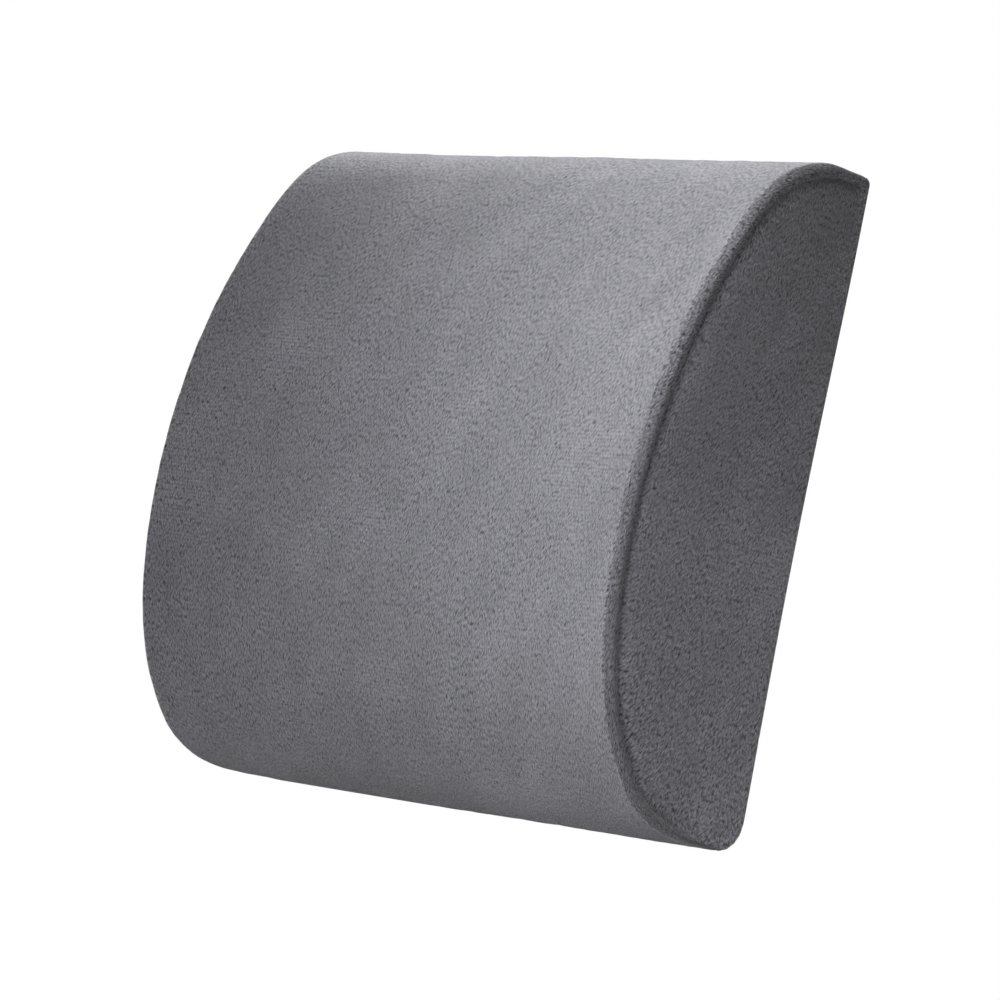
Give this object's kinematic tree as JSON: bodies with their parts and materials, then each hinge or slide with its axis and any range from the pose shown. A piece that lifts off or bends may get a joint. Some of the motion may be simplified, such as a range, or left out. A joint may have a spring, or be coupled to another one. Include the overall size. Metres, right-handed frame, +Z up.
{
  "type": "lumbar support cushion",
  "caption": "Crowned, D-shaped memory-foam back cushion in a zipped plush cover, with a flat back and a buckled strap that holds it to a chair.",
  "frame": {"origin": "middle of the cushion's flat back, on the cover's outer face", "axes": "+Z up, +Y out of the flat back towards the chair, -Y out of the crowned front, +X towards the end that is on the right when the front is seen"},
  "size_m": [0.33, 0.1241, 0.32],
  "materials": {
    "plush": "short velour pile",
    "memory_foam": "open-cell foam, matt",
    "jersey": "thin white knit",
    "zip_tape": "woven tape",
    "zip_coil": "nylon filament",
    "zip_metal": "grey enamel",
    "webbing": "woven elastic webbing",
    "buckle_plastic": "fine satin"
  },
  "bodies": {
    "cushion": {"foam_core": "memory_foam", "inner_liner": "jersey", "front_panel": "plush", "back_panel": "plush", "right_side_panel": "plush", "left_side_panel": "plush", "zipper_tape_upper": "zip_tape", "zipper_tape_lower": "zip_tape", "zipper_coil_upper": "zip_coil", "zipper_coil_lower": "zip_coil", "zipper_end_stop": "zip_metal", "zipper_top_stop_upper": "zip_metal", "zipper_top_stop_lower": "zip_metal", "strap_left": "webbing", "strap_right": "webbing", "buckle_socket": "buckle_plastic", "buckle_plug": "buckle_plastic"},
    "zip_slider": {"zipper_slider": "zip_metal"},
    "pull_tab": {"zipper_pull_tab": "zip_metal"},
    "adjuster": {"strap_adjuster": "buckle_plastic"},
    "latch_upper": {"latch_arm_upper": "buckle_plastic"},
    "latch_lower": {"latch_arm_lower": "buckle_plastic"}
  },
  "joints": [
    {"name": "zip_slide", "type": "slide", "parent": "cushion", "child": "zip_slider", "axis": [1, 0, 0], "range_m": [0, 0.27]},
    {"name": "pull_tab_flip", "type": "hinge", "parent": "zip_slider", "child": "pull_tab", "pos_m": [-0.1362, 0.0039, -0.105], "axis": [0, 0, 1], "range_deg": [0, 175]},
    {"name": "adjuster_slide", "type": "slide", "parent": "cushion", "child": "adjuster", "axis": [1, 0, 0], "range_m": [-0.024, 0.038]},
    {"name": "latch_upper_squeeze", "type": "hinge", "parent": "cushion", "child": "latch_upper", "pos_m": [0.0009, 0.006, 0.061], "axis": [0, 1, 0], "range_deg": [0, 8]},
    {"name": "latch_lower_squeeze", "type": "hinge", "parent": "cushion", "child": "latch_lower", "pos_m": [0.0009, 0.006, 0.039], "axis": [0, -1, 0], "range_deg": [0, 8]}
  ]
}
